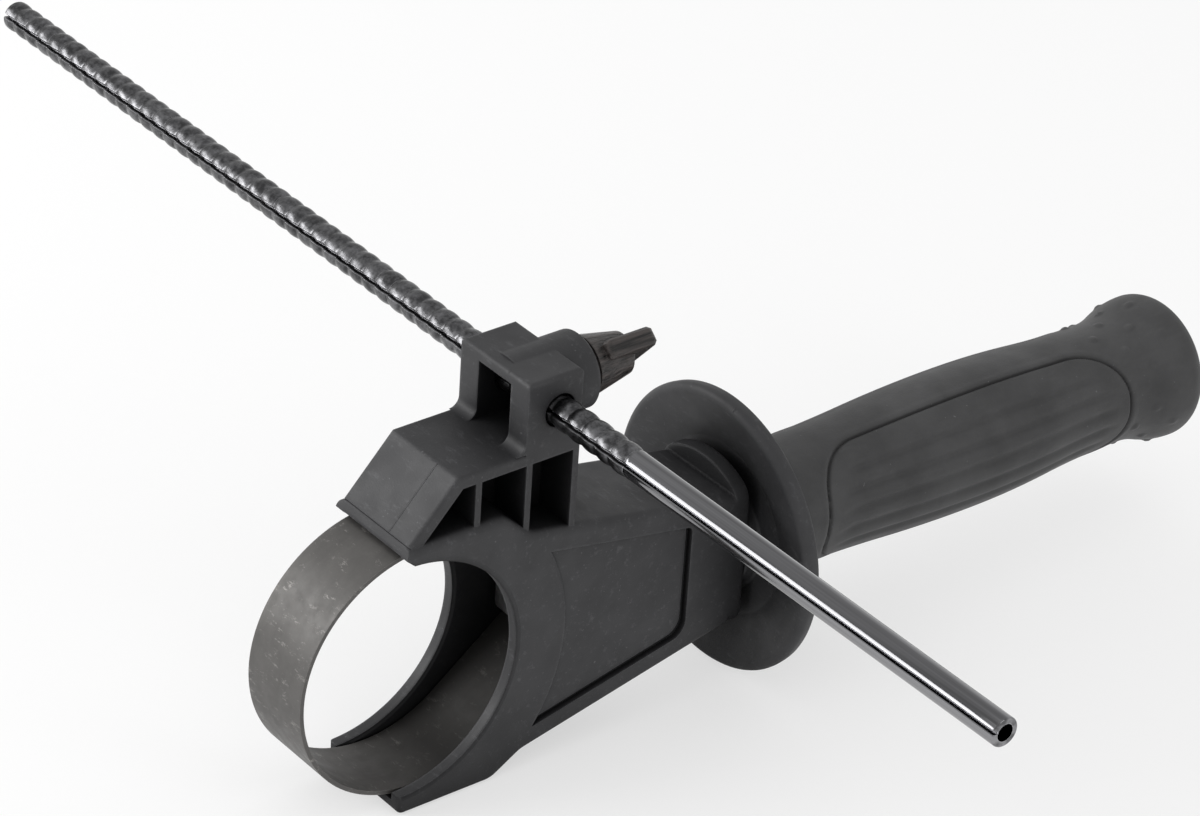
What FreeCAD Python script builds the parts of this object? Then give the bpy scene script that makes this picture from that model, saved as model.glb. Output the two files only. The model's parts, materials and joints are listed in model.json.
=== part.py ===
import FreeCAD
import Part
import math
import os

# A power tool's side handle: a collar that closes round the tool's neck, a grip that tightens it
# when it is turned, and a depth gauge rod held in a tower on the collar by a thumb screw.
# Frame: origin on the neck's axis, in the middle of the collar. X runs along the grip, away from
# the neck, Y runs along the neck and the rod, and Z points up at the tower. Millimetres.

# Jaw, the moulded half of the collar
neck_r = 30.0
jaw_w = 26.4
lip_t = 2.7
jaw_top = 34.0
jaw_low = 34.8
jaw_flat_x = 25.3
jaw_shoulder_r = 6.0
jaw_edge_r = 2.0
jaw_low_edge_r = 1.0
jaw_tip_low = 269.4
jaw_tip_top = 87.5
jaw_tip_low_x = -0.3
jaw_tip_r = 1.6
jaw_tip_top_x = -0.8
jaw_tip_top_z = 31.8
jaw_tip_flat_x = 0.2

# Arm that carries the grip
arm_root_x = 33.2
arm_root_top = 27.2
arm_root_low = 30.0
arm_waist_r = 7.0
arm_end_x = 91.0
arm_end_top = 16.4
arm_end_low = 17.1
arm_disc_r = 21.4
arm_disc_t = 3.6
arm_disc_corner_r = 5.0

# Recessed panel in each side of the arm
panel_r = 43.5
panel_depth = 0.6
panel_top = 5.6
panel_low = 4.7
panel_end_x = 78.5
panel_corner = 4.5
panel_corner_r = 1.5
panel_groove_w = 1.4
panel_groove_depth = 1.7

# Roof over the collar, the plate under the tower and their ribs
roof_w = 24.4
roof_t = 2.9
roof_low_x = 0.4
roof_low_z = 34.2
ridge_x = 12.7
plate_z = 47.5
roof_edge_r = 0.8
rib_t = 1.6
rib_x = (18.2, 31.7)
web_t = 2.5

# Tower that holds the rod
tower_x = 30.5
tower_t = 14.6
tower_top = 64.6
tower_edge_r = 1.0
tower_foot_r = 2.6
window_w = 11.5
window_top = 62.0
window_wall = 2.5
window_roof = 2.3

# Boss for the thumb screw
boss_r = 9.0
boss_back = 3.0
boss_end_x = 53.0
boss_edge = 0.5

# Depth gauge rod, a rolled steel tube, thicker on its far part, which is ridged
rod_x = 39.2
rod_z = 56.0
rod_near_y = -155.3
rod_far_y = 205.8
rod_r = 3.4
rod_ridge_r = 3.7
rod_wall = 1.35
rod_play = 0.35
rod_end_chamfer = 0.5
ridge_start_y = -38.0
rod_step = 0.9
seam_w = 0.5
seam_angle = 160.0

# Thumb screw, its nut and its knob
stud_r = 3.0
stud_nut_af = 10.0
stud_nut_t = 5.0
nut_play = 0.1
running = 0.05
seat_gap = 0.3
knob_gap = 1.5
knob_base_r = 7.1
knob_tip_r = 4.8
knob_len = 11.5
knob_skirt_r = 6.4
knob_skirt_len = 1.2
knob_edge = 0.9
wing_len = 16.6
wing_t = 4.3
wing_start = 2.5
wing_over = 4.4
wing_corner_r = 2.0
wing_edge = 0.7
wing_angle = 48.5
knob_grip_wall = 2.5

# Clamp band and its bolt
band_t = 1.0
band_side_play = 0.8
band_r = 31.5
band_drawn = 6.4
band_play = 0.4
band_bend_r = 2.2
band_tab_x = 46.6
band_tab_half_h = 7.0
band_tab_gap = 0.3
band_throat = 8.0
band_hole_play = 0.2
bolt_r = 4.0
bolt_play = 0.3
bolt_len = 90.0
bolt_head_t = 5.0
bolt_head_w = 18.0
bolt_head_h = 13.0
bolt_head_edge_r = 1.5
cavity_clear = 0.8
cavity_half_h = 9.8

# Grip: hard core with the flange, its nut and the soft sleeve
flange_x = 95.0
flange_r = 34.8
flange_back_r = 33.6
flange_t = 4.0
flange_edge = 0.7
flange_seat_r = 20.6
dish_x = 98.0
dish_wall = 1.7
flange_foot_r = 15.6
flange_foot_len = 4.2
flange_foot_slope = 4.0
grip_nut_af = 13.0
grip_nut_t = 6.5
grip_nut_wall = 0.3
core_r = 10.0
core_len = 117.8
core_bore_len = 53.1
grip_waist_r = 15.2
grip_waist_x = 112.0
grip_belly_r = 17.0
grip_belly_x = 168.0
grip_neck_r = 14.9
grip_neck_x = 214.5
grip_knob_r = 17.8
grip_knob_x = 230.5
grip_end_x = 236.0
grip_end_r = 12.0
grip_shoulder_x = 234.5
grip_shoulder_r = 16.0
sleeve_play = 0.05

# What follows from the sizes above
jaw_half_w = jaw_w / 2
channel_half = jaw_half_w - lip_t
band_w = 2 * (channel_half - band_side_play)
plate_under = plate_z - roof_t
tower_back = tower_x + tower_t
rod_hole_r = rod_ridge_r + rod_play
cavity_end_x = band_tab_x + 2 * band_t + band_tab_gap + cavity_clear
arm_face_x = arm_end_x + arm_disc_t
seat_x = arm_face_x + seat_gap
stud_nut_x = rod_x + rod_hole_r + 0.9
knob_x = boss_end_x + knob_gap
bolt_head_x = band_tab_x - band_t / 2 - bolt_head_t
grip_nut_x = seat_x + grip_nut_wall
flange_back_x = flange_x + flange_t
flange_foot_x = flange_back_x + flange_foot_len
sleeve_x = flange_foot_x + 1.0
core_end_x = sleeve_x + core_len

V = FreeCAD.Vector
ALONG_X = V(1, 0, 0)
ALONG_Y = V(0, 1, 0)


def rounded_wire(corners):
    """A closed wire in the XZ plane from corners (x, z, radius), with each corner rounded."""
    pts = [V(c[0], 0, c[1]) for c in corners]
    ends = []
    for i, corner in enumerate(corners):
        here = pts[i]
        radius = corner[2] if len(corner) > 2 else 0.0
        if radius == 0.0:
            ends.append((here, None, here))
            continue
        back = (pts[i - 1] - here).normalize()
        on = (pts[(i + 1) % len(pts)] - here).normalize()
        half = back.getAngle(on) / 2
        reach = radius / math.tan(half)
        middle = (back + on).normalize() * (radius / math.sin(half) - radius)
        ends.append((here + back * reach, here + middle, here + on * reach))
    edges = []
    for i, (start, middle, stop) in enumerate(ends):
        if middle is not None:
            edges.append(Part.Arc(start, middle, stop).toShape())
        after = ends[(i + 1) % len(ends)][0]
        if (after - stop).Length > 1e-6:
            edges.append(Part.makeLine(stop, after))
    return Part.Wire(edges)


def plate_xz(corners, half_width, middle_y=0.0):
    """A plate with the given outline in the XZ plane, half_width to each side of middle_y."""
    face = Part.Face(rounded_wire(corners))
    face.translate(V(0, middle_y - half_width, 0))
    return face.extrude(V(0, 2 * half_width, 0))


def cylinder_x(radius, x_from, x_to, y=0.0, z=0.0):
    return Part.makeCylinder(radius, x_to - x_from, V(x_from, y, z), ALONG_X)


def cylinder_y(radius, half_length, x=0.0, z=0.0):
    return Part.makeCylinder(radius, 2 * half_length, V(x, -half_length, z), ALONG_Y)


def block(x_from, x_to, half_y, z_from, z_to):
    return Part.makeBox(x_to - x_from, 2 * half_y, z_to - z_from, V(x_from, -half_y, z_from))


def hexagon_x(across_flats, x_from, x_to, z=0.0):
    """A hexagonal bar along X, with two flats facing up and down."""
    corner_r = across_flats / 2 / math.cos(math.radians(30))
    pts = [V(x_from, corner_r * math.cos(math.radians(a)), z + corner_r * math.sin(math.radians(a)))
           for a in range(0, 420, 60)]
    return Part.Face(Part.makePolygon(pts)).extrude(V(x_to - x_from, 0, 0))


def edges_where(shape, test):
    """The edges whose two ends and middle all pass the test."""
    chosen = []
    for edge in shape.Edges:
        first, last = edge.FirstParameter, edge.LastParameter
        places = [edge.valueAt(first + (last - first) * k) for k in (0.0, 0.5, 1.0)]
        if all(test(p) for p in places):
            chosen.append(edge)
    return chosen


def near(value, target):
    return abs(value - target) < 1e-4


def tapered(x, root, end):
    """The arm's height at x above or below the grip's axis, on its straight taper."""
    return root + (end - root) * (x - arm_root_x) / (arm_end_x - arm_root_x)


def jaw_and_arm():
    """The jaw's outer form and the tapering arm, before anything is hollowed out."""
    low = math.radians(jaw_tip_low)
    top = math.radians(jaw_tip_top)
    corners = [
        (neck_r * math.cos(low), neck_r * math.sin(low)),
        (jaw_tip_low_x, -jaw_low, jaw_tip_r),
        (jaw_flat_x, -jaw_low, jaw_shoulder_r),
        (arm_root_x, -arm_root_low, arm_waist_r),
        (arm_end_x, -arm_end_low),
        (arm_end_x, arm_end_top),
        (arm_root_x, arm_root_top, arm_waist_r),
        (jaw_flat_x, jaw_top, jaw_shoulder_r),
        (jaw_tip_flat_x, jaw_top),
        (jaw_tip_top_x, jaw_tip_top_z),
        (neck_r * math.cos(top), neck_r * math.sin(top)),
    ]
    body = plate_xz(corners, jaw_half_w)
    for up, left_end, radius in ((1, jaw_tip_flat_x, jaw_edge_r), (-1, jaw_tip_low_x, jaw_low_edge_r)):
        side = edges_where(body, lambda p: near(abs(p.y), jaw_half_w) and p.x > left_end - 0.1)
        side = [e for e in side if e.CenterOfMass.z * up > arm_end_top - 1]
        side = [e for e in side if left_end < e.CenterOfMass.x < arm_end_x - 1]
        body = body.makeFillet(radius, side)
    return body


def arm_disc():
    """The round end of the arm, cut flat at its sides, on which the grip's flange turns."""
    disc = cylinder_x(arm_disc_r, arm_end_x, arm_face_x)
    disc = disc.common(block(arm_end_x - 1, arm_face_x + 1, jaw_half_w, -arm_disc_r, arm_disc_r))
    middle_x = (arm_end_x + arm_face_x) / 2
    sides = edges_where(disc, lambda p: near(abs(p.y), jaw_half_w))
    corners = [e for e in sides if abs(e.CenterOfMass.z) > 1 and near(e.CenterOfMass.x, middle_x)]
    return disc.makeFillet(arm_disc_corner_r, corners)


def roof_and_plate():
    """The sloping roof over the collar and the level plate that carries the tower."""
    slope = math.atan2(plate_z - roof_low_z, ridge_x - roof_low_x)
    inner_ridge_x = ridge_x + roof_t * math.tan(slope / 2)
    corners = [
        (roof_low_x, roof_low_z),
        (ridge_x, plate_z, roof_edge_r),
        (tower_back, plate_z),
        (tower_back, plate_under),
        (inner_ridge_x, plate_under),
        (roof_low_x + roof_t * math.sin(slope), roof_low_z - roof_t * math.cos(slope)),
    ]
    roof = plate_xz(corners, roof_w / 2)
    half_slope = (ridge_x - roof_low_x) / 2
    rounded = []
    for edge in edges_where(roof, lambda p: near(abs(p.y), roof_w / 2)):
        middle = edge.CenterOfMass
        level = near(middle.z, plate_z)
        sloping = middle.x < ridge_x - half_slope / 2 and middle.z > (roof_low_z + plate_z) / 2 - roof_edge_r
        if level or sloping:
            rounded.append(edge)
    return roof.makeFillet(roof_edge_r, rounded)


def ribs():
    """The cross ribs, the end wall and the web between the plate and the jaw's top."""
    half = roof_w / 2
    wall_low = tapered(tower_back, arm_root_top, arm_end_top) - jaw_edge_r
    shapes = []
    for x in rib_x:
        foot = jaw_top - jaw_shoulder_r if x < jaw_flat_x else wall_low
        shapes.append(block(x - rib_t / 2, x + rib_t / 2, half, foot, plate_z - roof_t / 2))
    shapes.append(block(tower_back - rib_t, tower_back, half, wall_low, plate_z - roof_t / 2))
    web = [
        (roof_low_x + roof_t, roof_low_z - roof_t / 2),
        (ridge_x + roof_t / 2, plate_z - roof_t / 2),
        (tower_back - rib_t / 2, plate_z - roof_t / 2),
        (tower_back - rib_t / 2, wall_low),
        (arm_root_x, arm_root_top - 1),
        (jaw_flat_x, jaw_top - 2),
    ]
    shapes.append(plate_xz(web, web_t / 2))
    return shapes


def tower():
    """The block over the plate, with hollow-cornered feet at its front and the boss at its back."""
    body = block(tower_x, tower_back, roof_w / 2, plate_z - roof_t / 2, tower_top)
    body = body.makeFillet(tower_edge_r, edges_where(body, lambda p: near(p.z, tower_top)))
    foot = Part.Face(Part.Wire([
        Part.makeLine(V(tower_x - tower_foot_r, 0, plate_z), V(tower_x + 1, 0, plate_z)),
        Part.makeLine(V(tower_x + 1, 0, plate_z), V(tower_x + 1, 0, plate_z + tower_foot_r)),
        Part.makeLine(V(tower_x + 1, 0, plate_z + tower_foot_r), V(tower_x, 0, plate_z + tower_foot_r)),
        Part.Arc(V(tower_x, 0, plate_z + tower_foot_r),
                 V(tower_x - tower_foot_r * (1 - math.cos(math.radians(45))), 0,
                   plate_z + tower_foot_r * (1 - math.sin(math.radians(45)))),
                 V(tower_x - tower_foot_r, 0, plate_z)).toShape(),
    ]))
    foot.translate(V(0, -roof_w / 2, 0))
    feet = foot.extrude(V(0, roof_w, 0))
    boss = cylinder_x(boss_r, tower_x + boss_back, boss_end_x, z=rod_z)
    boss = boss.makeChamfer(boss_edge, edges_where(boss, lambda p: near(p.x, boss_end_x)))
    return [body, feet, boss]


def band_cavity():
    """The room that the band moves in: round the neck between the lips, then back to its bolt."""
    radius = band_r + band_play
    height = 2 * channel_half
    ring = cylinder_y(radius, channel_half, x=band_drawn)
    mouth = block(-radius, band_drawn, channel_half, -radius, radius)
    reach = math.hypot(cavity_end_x - band_drawn, cavity_half_h)
    touch = math.acos(radius / reach) + math.atan2(cavity_half_h, cavity_end_x - band_drawn)
    throat_x = band_drawn + radius * math.cos(touch)
    throat_z = radius * math.sin(touch)
    throat = [
        (band_drawn, -throat_z),
        (throat_x, -throat_z),
        (cavity_end_x, -cavity_half_h),
        (cavity_end_x, cavity_half_h),
        (throat_x, throat_z),
        (band_drawn, throat_z),
    ]
    return [ring, mouth, plate_xz(throat, height / 2)]


def panel_cuts():
    """The shallow panel in each side of the arm, with the deeper groove on two of its edges."""
    shrink = panel_groove_w
    top_left = (arm_root_x, arm_root_top - panel_top)
    low_left = (arm_root_x, panel_low - arm_root_low)
    end_top = tapered(panel_end_x, arm_root_top, arm_end_top) - panel_top
    end_low = panel_low - tapered(panel_end_x, arm_root_low, arm_end_low)
    outline = [top_left, (panel_end_x, end_top, panel_corner_r), (panel_end_x, end_low, panel_corner),
               low_left]
    inner = [
        (top_left[0], top_left[1] + shrink),
        (panel_end_x - shrink, end_top + shrink),
        (panel_end_x - shrink, end_low + shrink, panel_corner),
        (low_left[0], low_left[1] + shrink),
    ]
    keep_out = cylinder_y(panel_r, jaw_half_w + 1)
    cuts = []
    for side in (-1, 1):
        shallow = plate_xz(outline, panel_depth, side * jaw_half_w)
        deep = plate_xz(outline, panel_groove_depth, side * jaw_half_w)
        deep = deep.cut(plate_xz(inner, panel_groove_depth, side * jaw_half_w))
        cuts += [shallow.cut(keep_out), deep.cut(keep_out)]
    return cuts


def tower_cuts():
    """The window and the hollow behind it, the rod's hole, the nut's pocket and the screw's hole."""
    half = window_w / 2
    hollow_end = rod_x + rod_hole_r + 0.2
    nut_end = stud_nut_x + stud_nut_t + nut_play
    return [
        block(tower_x - tower_foot_r - 1, tower_x + window_wall, half, plate_z, window_top),
        block(tower_x + window_wall / 2, hollow_end, half, plate_z, tower_top - window_roof),
        cylinder_y(rod_hole_r, roof_w, x=rod_x, z=rod_z),
        hexagon_x(stud_nut_af + 2 * nut_play, hollow_end - 0.5, nut_end, z=rod_z),
        cylinder_x(stud_r + rod_play, nut_end - 0.5, boss_end_x + 1, z=rod_z),
    ]


def bracket():
    solid = jaw_and_arm()
    solid = solid.multiFuse([arm_disc(), roof_and_plate()] + ribs() + tower())
    cuts = [cylinder_y(neck_r, jaw_w), cylinder_x(bolt_r + bolt_play, cavity_end_x - 1, arm_face_x + 1)]
    solid = solid.cut(cuts + band_cavity() + panel_cuts() + tower_cuts())
    return solid.removeSplitter()


def band_path():
    """The middle line of the band: a tab, a run back to the circle, the loop and the other tab."""
    radius = band_r - band_t / 2
    outer_tab_x = band_tab_x + band_t + band_tab_gap
    low = V(band_tab_x, 0, -band_throat)
    top = V(outer_tab_x, 0, band_throat)

    def touch_point(corner, sign):
        dx, dz = corner.x - band_drawn, abs(corner.z)
        angle = math.acos(radius / math.hypot(dx, dz)) + math.atan2(dz, dx)
        return V(band_drawn + radius * math.cos(angle), 0, sign * radius * math.sin(angle))

    def bend(tab_end, corner, far):
        back = (tab_end - corner).normalize()
        on = (far - corner).normalize()
        half = back.getAngle(on) / 2
        reach = band_bend_r / math.tan(half)
        middle = (back + on).normalize() * (band_bend_r / math.sin(half) - band_bend_r)
        return corner + back * reach, corner + middle, corner + on * reach

    low_touch = touch_point(low, -1)
    top_touch = touch_point(top, 1)
    tab_low = V(band_tab_x, 0, band_tab_half_h)
    tab_top = V(outer_tab_x, 0, -band_tab_half_h)
    a, b, c = bend(tab_low, low, low_touch)
    d, e, f = bend(tab_top, top, top_touch)
    return Part.Wire([
        Part.makeLine(tab_low, a),
        Part.Arc(a, b, c).toShape(),
        Part.makeLine(c, low_touch),
        Part.Arc(low_touch, V(band_drawn - radius, 0, 0), top_touch).toShape(),
        Part.makeLine(top_touch, f),
        Part.Arc(f, e, d).toShape(),
        Part.makeLine(d, tab_top),
    ])


def clamp_band():
    path = band_path()
    half_t, half_w = band_t / 2, band_w / 2
    section = Part.makePolygon([
        V(band_tab_x - half_t, -half_w, band_tab_half_h),
        V(band_tab_x + half_t, -half_w, band_tab_half_h),
        V(band_tab_x + half_t, half_w, band_tab_half_h),
        V(band_tab_x - half_t, half_w, band_tab_half_h),
        V(band_tab_x - half_t, -half_w, band_tab_half_h),
    ])
    strip = path.makePipeShell([section], True, False)
    hole = cylinder_x(bolt_r + band_hole_play, band_tab_x - band_bend_r, cavity_end_x)
    return strip.cut(hole)


def clamp_bolt():
    head = block(bolt_head_x, bolt_head_x + bolt_head_t, bolt_head_w / 2, -bolt_head_h / 2,
                 bolt_head_h / 2)
    sides = edges_where(head, lambda p: near(abs(p.y), bolt_head_w / 2))
    corners = [e for e in sides if near(abs(e.CenterOfMass.z), bolt_head_h / 2)]
    head = head.makeFillet(bolt_head_edge_r, corners)
    shank_end = bolt_head_x + bolt_head_t + bolt_len
    shank = cylinder_x(bolt_r, bolt_head_x + bolt_head_t / 2, shank_end)
    shank = shank.makeChamfer(bolt_r / 5, edges_where(shank, lambda p: near(p.x, shank_end)))
    return head.fuse(shank).removeSplitter()


def revolve_x(outline):
    """A solid of revolution round the X axis from a closed outline of edges in the XZ plane."""
    return Part.Face(outline).revolve(V(0, 0, 0), ALONG_X, 360)


def grip_core():
    """The hard core: the dished flange that turns on the arm's end, and the barrel in the sleeve."""
    outline = Part.makePolygon([
        V(seat_x, 0, 0),
        V(seat_x, 0, flange_seat_r),
        V(dish_x, 0, flange_seat_r + dish_wall),
        V(flange_x, 0, flange_r - flange_edge),
        V(flange_x + flange_edge, 0, flange_r),
        V(flange_back_x - flange_edge, 0, flange_back_r + flange_edge),
        V(flange_back_x, 0, flange_back_r - flange_edge),
        V(flange_foot_x, 0, flange_foot_r + flange_foot_slope),
        V(sleeve_x, 0, flange_foot_r),
        V(sleeve_x, 0, core_r),
        V(core_end_x, 0, core_r),
        V(core_end_x, 0, 0),
        V(seat_x, 0, 0),
    ])
    solid = revolve_x(outline)
    pocket = hexagon_x(grip_nut_af + 2 * nut_play, seat_x - 1, grip_nut_x + grip_nut_t)
    bore = cylinder_x(bolt_r + bolt_play, seat_x, seat_x + core_bore_len)
    return solid.cut([pocket, bore])


def level_curve(start, end):
    """Two equal arcs from start to end, level at both and with one slope where they meet."""
    run = (end.x - start.x) / 2
    rise = (end.z - start.z) / 2
    radius = (run ** 2 + rise ** 2) / (2 * rise)
    turn = math.atan(rise / run)
    meeting = (start + end) / 2
    first = start + V(radius * math.sin(turn), 0, radius * (1 - math.cos(turn)))
    second = start + end - first
    return [Part.Arc(start, first, meeting).toShape(), Part.Arc(meeting, second, end).toShape()]


def grip_sleeve():
    """The soft sleeve: a waist behind the flange, a belly, a neck and the knob at its closed end."""
    stations = [
        V(grip_waist_x, 0, grip_waist_r),
        V(grip_belly_x, 0, grip_belly_r),
        V(grip_neck_x, 0, grip_neck_r),
        V(grip_knob_x, 0, grip_knob_r),
    ]
    side = []
    for start, end in zip(stations, stations[1:]):
        side += level_curve(start, end)
    inner = core_r + sleeve_play
    shoulder = V(grip_end_x, 0, grip_end_r)
    corner = V(grip_shoulder_x, 0, grip_shoulder_r)
    inside = Part.makePolygon([
        shoulder,
        V(grip_end_x, 0, 0),
        V(core_end_x + sleeve_play, 0, 0),
        V(core_end_x + sleeve_play, 0, inner),
        V(sleeve_x, 0, inner),
        V(sleeve_x, 0, grip_waist_r),
        stations[0],
    ])
    rounded_end = Part.Arc(stations[-1], corner, shoulder).toShape()
    return revolve_x(Part.Wire(side + [rounded_end] + inside.Edges))


def nut(across_flats, thickness, x_from, hole_r, z):
    body = hexagon_x(across_flats, x_from, x_from + thickness, z)
    return body.cut(cylinder_x(hole_r, x_from - 1, x_from + thickness + 1, z=z))


def depth_rod():
    """A rolled tube: smooth towards the work, thicker where it is ridged, with an open seam."""
    inner = rod_r - rod_wall
    outline = Part.makePolygon([
        V(inner, rod_near_y, 0),
        V(rod_r - rod_end_chamfer, rod_near_y, 0),
        V(rod_r, rod_near_y + rod_end_chamfer, 0),
        V(rod_r, ridge_start_y, 0),
        V(rod_ridge_r, ridge_start_y + rod_step, 0),
        V(rod_ridge_r, rod_far_y - rod_end_chamfer, 0),
        V(rod_ridge_r - rod_end_chamfer, rod_far_y, 0),
        V(inner, rod_far_y, 0),
        V(inner, rod_near_y, 0),
    ])
    tube = Part.Face(outline).revolve(V(0, 0, 0), ALONG_Y, 360)
    seam = block(0, 2 * rod_ridge_r, rod_far_y - rod_near_y, -seam_w / 2, seam_w / 2)
    seam.rotate(V(0, 0, 0), ALONG_Y, -seam_angle)
    tube = tube.cut(seam)
    tube.translate(V(rod_x, 0, rod_z))
    return tube


def thumb_screw_stud():
    tip = rod_x + rod_ridge_r + seat_gap
    stop = knob_x + knob_len - knob_grip_wall
    stud = cylinder_x(stud_r, tip, stop, z=rod_z)
    return stud.makeChamfer(stud_r / 6, edges_where(stud, lambda p: near(p.x, tip) or near(p.x, stop)))


def thumb_screw_knob():
    """The knob: a short skirt, a tapered hub and two wings that stand out past its end."""
    hub = Part.makeCone(knob_base_r, knob_tip_r, knob_len, V(knob_x, 0, rod_z), ALONG_X)
    hub = hub.makeChamfer(knob_edge, edges_where(hub, lambda p: near(p.x, knob_x + knob_len)))
    skirt = cylinder_x(knob_skirt_r, knob_x - knob_skirt_len, knob_x + 1, z=rod_z)
    start = knob_x + wing_start
    end = knob_x + knob_len + wing_over
    half = wing_len / 2
    wings = plate_xz([
        (start, -half, wing_corner_r),
        (end, -half, wing_corner_r),
        (end, half, wing_corner_r),
        (start, half, wing_corner_r),
    ], wing_t / 2)
    rim = [e for e in wings.Edges if near(abs(e.CenterOfMass.y), wing_t / 2)]
    wings = wings.makeChamfer(wing_edge, rim)
    wings.rotate(V(0, 0, 0), ALONG_X, 90 - wing_angle)
    wings.translate(V(0, 0, rod_z))
    knob = hub.multiFuse([skirt, wings]).removeSplitter()
    hole_end = knob_x + knob_len - knob_grip_wall + running
    return knob.cut(cylinder_x(stud_r + running, knob_x - knob_skirt_len - 1, hole_end, z=rod_z))


def main():
    parts = {
        "bracket": bracket(),
        "clamp_band": clamp_band(),
        "clamp_bolt": clamp_bolt(),
        "grip_core": grip_core(),
        "grip_nut": nut(grip_nut_af, grip_nut_t, grip_nut_x, bolt_r + running, 0.0),
        "grip_sleeve": grip_sleeve(),
        "depth_rod": depth_rod(),
        "thumb_screw_stud": thumb_screw_stud(),
        "thumb_screw_nut": nut(stud_nut_af, stud_nut_t, stud_nut_x, stud_r + running, rod_z),
        "thumb_screw_knob": thumb_screw_knob(),
    }
    os.makedirs("parts", exist_ok=True)
    for name, shape in parts.items():
        print(name, "valid", shape.isValid(), "solids", len(shape.Solids), "mm3", round(shape.Volume, 1))
        shape.exportStep("parts/" + name + ".step")


main()
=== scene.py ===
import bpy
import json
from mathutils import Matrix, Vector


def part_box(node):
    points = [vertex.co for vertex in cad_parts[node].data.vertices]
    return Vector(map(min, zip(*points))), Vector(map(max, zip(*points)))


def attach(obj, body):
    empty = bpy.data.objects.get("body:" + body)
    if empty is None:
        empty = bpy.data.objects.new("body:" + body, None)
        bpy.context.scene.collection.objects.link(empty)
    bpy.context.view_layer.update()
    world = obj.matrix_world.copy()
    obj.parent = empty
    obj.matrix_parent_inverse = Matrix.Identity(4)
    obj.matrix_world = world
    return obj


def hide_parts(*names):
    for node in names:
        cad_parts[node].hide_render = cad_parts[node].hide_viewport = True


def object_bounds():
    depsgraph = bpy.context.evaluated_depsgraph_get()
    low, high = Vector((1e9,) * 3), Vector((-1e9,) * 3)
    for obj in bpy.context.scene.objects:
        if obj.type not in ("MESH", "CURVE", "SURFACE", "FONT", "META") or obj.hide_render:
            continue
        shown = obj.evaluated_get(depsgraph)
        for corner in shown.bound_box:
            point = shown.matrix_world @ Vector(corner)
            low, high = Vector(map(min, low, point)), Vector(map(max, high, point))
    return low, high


bl_info = {
    "name": "Side Handle",
    "version": (1, 0, 0),
    "blender": (4, 5, 0),
    "location": "3D View > Sidebar > Side Handle",
    "description": "Finishes a power tool's side handle: its mouldings, band, grip, rod and thumb screw",
    "category": "Object",
}

import json
import math

import bmesh
import bpy
from bpy.props import FloatProperty, FloatVectorProperty, IntProperty, PointerProperty
from mathutils import Quaternion, Vector

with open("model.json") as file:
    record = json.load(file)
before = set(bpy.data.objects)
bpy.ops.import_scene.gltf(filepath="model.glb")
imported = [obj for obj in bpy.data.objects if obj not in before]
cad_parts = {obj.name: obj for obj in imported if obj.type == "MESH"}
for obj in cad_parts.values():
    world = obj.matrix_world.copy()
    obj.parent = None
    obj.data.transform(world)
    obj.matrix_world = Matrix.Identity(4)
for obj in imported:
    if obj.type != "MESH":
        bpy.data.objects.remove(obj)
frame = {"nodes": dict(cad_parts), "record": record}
CAD_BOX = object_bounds()
NODES = frame["nodes"]
MM = 0.001

# Where the photograph was taken from, in metres, and how the camera was turned
CAMERA_PLACE = Vector((-0.538857, -0.719192, 0.609209))
CAMERA_AIM = Vector((0.547783, 0.657517, -0.517305))
CAMERA_ROLL = math.radians(3.8807)
CAMERA_LENS = 149.631
SENSOR_WIDTH = 36.0

# Depth gauge rod: its ridges repeat from here to its far end, and its seam faces this way
ROD_X = 39.2
ROD_Z = 56.0
RIDGE_START = -38.0
SEAM_ANGLE = math.radians(163.0)

# The flange and its barrel as (x, radius, corner radius), from the nut's pocket round to its bore
FLANGE_OUTLINE = (
    (94.9, 7.7, 0.3), (94.9, 14.0, 0.4), (98.1, 14.6, 0.7), (98.1, 21.4, 1.5), (94.6, 34.8, 1.7),
    (99.0, 34.2, 1.0), (103.2, 19.6, 1.5), (104.2, 15.6, 0.6), (104.2, 10.0, 0.3), (222.0, 10.0, 1.0),
    (222.0, 4.3, 0.3), (101.8, 4.3, 0.3), (101.8, 7.7, 0.3),
)

# A fine parting line runs down the collar's roof, which faces this way
PARTING_Y = -4.4 * MM
ROOF_NORMAL = (-0.734, 0.0, 0.679)

# The collar's side faces fall away to its bore over this width, and the mouldings have a fine grain
COLLAR_BORE_R = 30.0 * MM
LIP_CHAMFER = 1.2 * MM
GRAIN_DEPTH = 0.035 * MM

# Side panels of the grip, on the sleeve's surface: their place and corners, the slant of their end
# beside the flange, and the angles of their flutes
PANEL_TURN = math.radians(8.0)
PANEL_LEFT = 118.4
PANEL_RIGHT = 212.7
PANEL_HALF_ANGLE = math.radians(63.0)
PANEL_REACH = 1.5
PANEL_LEFT_R = 12.0
PANEL_RIGHT_R = 15.0
PANEL_SLANT = 0.09
FLUTES = (36.0, 18.0, 0.0, -18.0, -36.0)

# A panel's raised lip, how far its middle lies below the sleeve, and how its flutes run out
PANEL_LIP_HEIGHT = 0.12
PANEL_LIP_OFF = 1.3
PANEL_LIP_WIDTH = 0.8
PANEL_SINK = 0.15
PANEL_SINK_RUN = 3.5
FLUTE_WIDTH = 1.1
FLUTE_RUN_OUT = (-2.0, -9.0)

# The sleeve's waist, belly, neck and knob as (x, radius), and its nubs as (x, first angle, angle
# kept clear beside a panel)
SLEEVE_STATIONS = ((112.0, 15.2), (168.0, 17.0), (214.5, 14.9), (230.5, 17.8))
NUB_RINGS = ((210.0, 82.0, 60.0), (215.6, 59.0, 15.0), (220.4, 38.0, 0.0), (225.8, 60.0, 15.0))
NUBS_PER_RING = 9
NUB_FOOT_R = 1.5
NUB_TOP_R = 0.2

# The sleeve's bore and where it ends, and the flat of the sleeve's end face
SLEEVE_BORE_R = 10.05
SLEEVE_BORE_END = 222.05
SLEEVE_END_R = 12.0

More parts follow.
